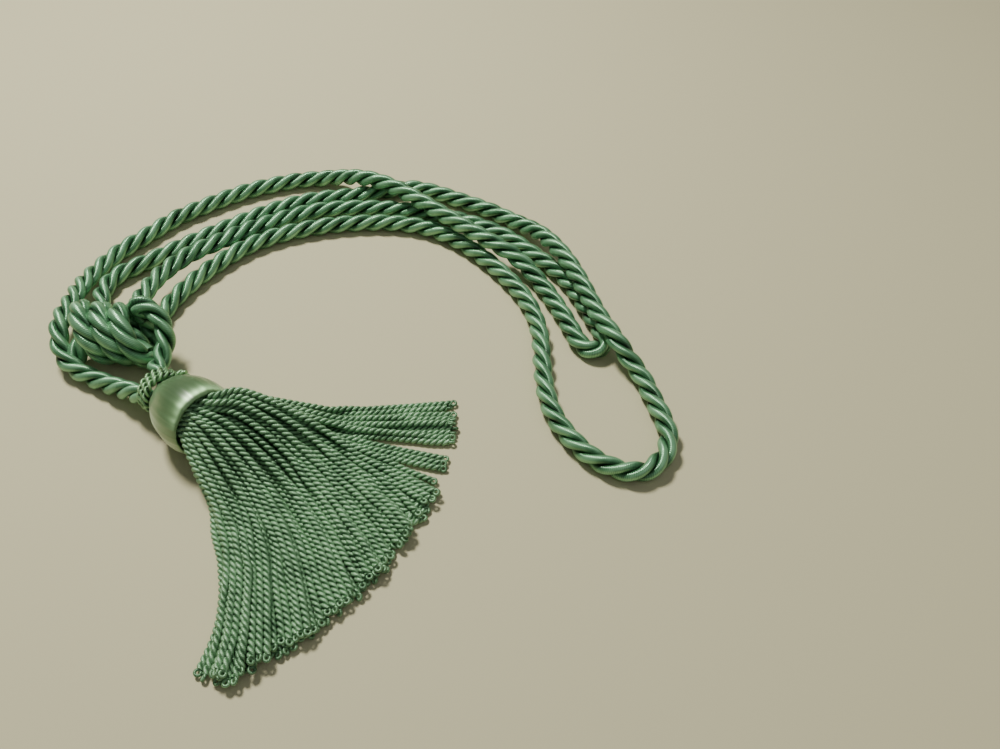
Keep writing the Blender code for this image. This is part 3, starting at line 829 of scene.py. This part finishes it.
# Where the strands end on the surface, from the right edge of the fan to its left edge.
# share: part of the strands counted so far; x, y: the end; bow: how far the strand bulges
# to its left on the way there; peak: how far along it the bulge is widest. Millimetres.
SKIRT_ENDS = (
    {"share": 0.00, "x": 110, "y": 47, "bow": 1, "peak": 0.38},
    {"share": 0.05, "x": 112, "y": 31, "bow": 0, "peak": 0.38},
    {"share": 0.10, "x": 111, "y": 16, "bow": 0, "peak": 0.38},
    {"share": 0.115, "x": 108, "y": 2, "bow": 2, "peak": 0.38},
    {"share": 0.19, "x": 103, "y": -15, "bow": 13, "peak": 0.37},
    {"share": 0.28, "x": 96, "y": -30, "bow": 17, "peak": 0.36},
    {"share": 0.41, "x": 86, "y": -50, "bow": 16, "peak": 0.35},
    {"share": 0.54, "x": 71, "y": -68, "bow": 13, "peak": 0.42},
    {"share": 0.68, "x": 55, "y": -84, "bow": 13, "peak": 0.48},
    {"share": 0.80, "x": 41, "y": -94, "bow": 13, "peak": 0.52},
    {"share": 0.91, "x": 28, "y": -105, "bow": 14, "peak": 0.56},
    {"share": 1.00, "x": 12, "y": -100, "bow": 15, "peak": 0.60},
)


def strand_roots():
    """Places of the strands in the mouth, across and up, on a grid of diamonds."""
    half = STRAND_PITCH / math.sqrt(2)
    reach = int(SKIRT_ROOT_RADIUS / half) + 1
    places = [
        (column * half, row * half)
        for column in range(-reach, reach + 1)
        for row in range(-reach, reach + 1)
        if (column + row) % 2 == 0
    ]
    return np.array([place for place in places if math.hypot(*place) <= SKIRT_ROOT_RADIUS])


def push_apart(points, runs, gap):
    """Moves strands at one station sideways until they are a gap away from each other."""
    for _ in range(SETTLE_PUSHES):
        away = points[:, None] - points[None]
        away -= (away * runs[:, None]).sum(axis=2, keepdims=True) * runs[:, None]
        far = np.linalg.norm(away, axis=2) + np.eye(len(points)) + 1e-9
        short = np.clip(gap - far, 0, None) * (1 - np.eye(len(points)))
        points = points + 0.45 * (away / far[:, :, None] * short[:, :, None]).sum(axis=1)
        points[:, 2] = np.maximum(points[:, 2], STRAND_HEIGHT)
    return points


def strand_shares(roots):
    """Each strand's place in the fan, from 0 at its right edge to 1 at its left, in locks."""
    upper = roots[:, 1] > UPPER_LAYER_FROM
    share = np.empty(len(roots))
    for layer, ahead in ((upper, 0.25), (~upper, 0.75)):
        order = np.argsort(-roots[layer, 0] - 0.01 * roots[layer, 1], kind="stable")
        rank = np.empty(layer.sum())
        rank[order] = np.arange(layer.sum()) + ahead
        share[layer] = rank / layer.sum()
    return share + LOCK_DEPTH * np.sin(math.tau * LOCKS * share)


def strand_paths(roots, share):
    """Every strand's stations from its root to its end: fanned out, fallen and settled."""
    along, across, up = tassel_axes()
    start = MOUTH_CENTRE - along * BACKING_DEPTH + roots[:, :1] * across + roots[:, 1:] * up
    table = {key: [row[key] for row in SKIRT_ENDS] for key in SKIRT_ENDS[0]}
    ends = [np.interp(share, table["share"], table[key]) for key in "xy"]
    end = placed(np.stack([*ends, np.zeros(len(share))], axis=1))[:, :2]
    bow = np.interp(share, table["share"], table["bow"]) * MM
    chord = end - start[:, :2]
    left = np.stack([-chord[:, 1], chord[:, 0]], axis=1)
    left /= np.linalg.norm(left, axis=1, keepdims=True)

    straight = along[:2] * np.linalg.norm(chord, axis=1, keepdims=True)
    bend = math.log(0.5) / np.log(np.interp(share, table["share"], table["peak"]))

    def laid(part):
        """Where every strand is, part of the way along it: straight out of the mouth at first."""
        free = min(1, part * 9)
        warped = min(part, 1) ** bend
        bulge = left * (bow * 4 * warped * (1 - warped))[:, None]
        return start[:, :2] + straight * part * (1 - free) + (chord * part + bulge) * free

    stations = [start]
    step = np.linalg.norm(chord, axis=1) / SETTLE_STEPS
    for i in range(1, SETTLE_STEPS + 1):
        part = i / SETTLE_STEPS
        now = stations[-1].copy()
        now[:, :2] += laid(part) - laid((i - 1) / SETTLE_STEPS)
        now[:, :2] += 0.1 * (laid(part) - now[:, :2])
        if i > 1:
            now[:, 2] -= step * SETTLE_FALL
        now[:, 2] = np.maximum(now[:, 2], STRAND_HEIGHT)
        runs = np.zeros_like(now)
        runs[:, :2] = laid(part + 0.01) - laid(part - 0.01)
        runs /= np.linalg.norm(runs, axis=1, keepdims=True)
        gap = STRAND_PITCH + (2 * STRAND_RADIUS - STRAND_PITCH) * min(1, part * 6)
        stations.append(push_apart(now, runs, gap))
    return np.array(stations).transpose(1, 0, 2)


def ring_route(end, run, lean):
    """The ring at a strand's fold, lying near the surface and leaning a little."""
    side = np.cross((0, 0, 1), run)
    side /= np.linalg.norm(side)
    top = np.cross(run, side)
    wide = side * math.cos(lean) + top * math.sin(lean)
    angles = np.arange(RING_POINTS) * math.tau / RING_POINTS
    middle = end + run * RING_RADIUS
    ring = middle + RING_RADIUS * (
        np.cos(angles)[:, None] * wide - np.sin(angles)[:, None] * run
    )
    ring[:, 2] = np.maximum(ring[:, 2], YARN_RADIUS)
    return ring


def row_tilt(path):
    """The turn that sets a strand's bumps in one row with those of its neighbours."""
    mark = len(path) * 3 // 10
    run = path[mark + 2] - path[mark - 2]
    slope = max(0.35, -run[1] / np.linalg.norm(run))
    return math.tau * (path[mark, 1] / slope + route_length(path[:mark])) / STRAND_LAY


roots = strand_roots()
shares = strand_shares(roots)
strands = strand_paths(roots, shares)
strands[:, :, 2] += STRAND_LIFT
chance = np.random.default_rng(7)
trims = chance.uniform(0, MOST_TRIM, len(strands)) * MM
leans = chance.uniform(-MOST_LEAN, MOST_LEAN, len(strands))
# Colours: painted light on the plies' outer sides, the yarn's green, and painted shade in the
# grooves.
bullion_satin = wound_satin(
    "viscose_bullion", "97C396", "7AA87A", "2F5637", shade=0.18, thread=0.6 * MM,
    relief=0.025 * MM, roughness=0.38,
)
BULLION = dict(
    plies=2, ply_radius=0.98 * MM, ply_width=1.3, ply_offset=0.78 * MM, lay=STRAND_LAY,
    step=STRAND_STEP, sides=7,
)
for name, low, high in (("right", 0, 0.33), ("middle", 0.33, 0.66), ("left", 0.66, 1)):
    chosen = np.flatnonzero((shares >= low) & (shares < high))
    routes, rings, tilts = [], [], []
    for number in chosen:
        path = smooth_route(strands[number][::STATION_STRIDE], STRAND_STEP)
        path = path[: len(path) - int(trims[number] / STRAND_STEP)]
        routes.append(path)
        run = path[-1] - path[-4]
        rings.append(ring_route(path[-1], run / np.linalg.norm(run), leans[number]))
        tilts.append(row_tilt(path))
    part = laid_cord(f"skirt_{name}", routes, bullion_satin, tilts=tilts, **BULLION)
    folds = laid_cord(
        f"skirt_folds_{name}", rings, bullion_satin, closed=True,
        plies=1, ply_radius=YARN_RADIUS, ply_offset=0.0, ply_width=1.0, lay=1.0,
        step=0.45 * MM, sides=8,
    )
    for piece in (part, folds):
        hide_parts("skirt")
        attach(piece, "root")

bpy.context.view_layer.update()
